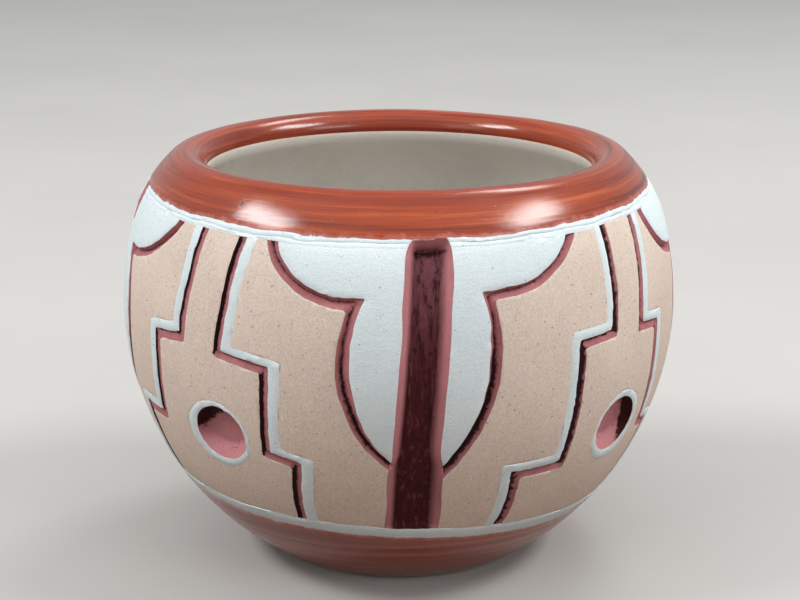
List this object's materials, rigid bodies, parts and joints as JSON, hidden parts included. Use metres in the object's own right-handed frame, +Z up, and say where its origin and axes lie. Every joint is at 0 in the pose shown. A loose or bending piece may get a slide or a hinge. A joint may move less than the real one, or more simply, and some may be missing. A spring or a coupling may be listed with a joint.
{
  "type": "pueblo pottery jar",
  "caption": "Round-bellied open jar of hand-coiled clay with a burnished red rim and foot and a carved, slip-painted band of stepped lines, winged channels and dimpled dots.",
  "frame": {"origin": "centre of the flat foot, on the surface that the jar stands on", "axes": "+Z up along the axis of the jar; -Y towards the middle of one carved channel; +X to its right"},
  "size_m": [0.1254, 0.1254, 0.0924],
  "materials": {
    "clay": "matt sandy fired clay",
    "red_slip": "stone-burnished red slip",
    "white_slip": "matt brushed white slip",
    "mauve_slip": "matt mauve slip in carved grooves"
  },
  "bodies": {
    "root": {"base_pat": "clay", "wall_coil_1": "clay", "wall_coil_2": "clay", "wall_coil_3": "clay", "wall_coil_4": "clay", "wall_coil_5": "clay", "rim_coil": "clay", "rim_red_slip": "red_slip", "foot_red_slip": "red_slip", "upper_white_line": "white_slip", "lower_white_line": "white_slip", "white_wings_left": "white_slip", "white_wings_right": "white_slip", "white_steps_left": "white_slip", "white_steps_right": "white_slip", "white_dot_rings": "white_slip", "mauve_channels": "mauve_slip", "mauve_wing_grooves_left": "mauve_slip", "mauve_wing_grooves_right": "mauve_slip", "mauve_step_grooves_left": "mauve_slip", "mauve_step_grooves_right": "mauve_slip", "mauve_dots": "mauve_slip"}
  },
  "joints": []
}
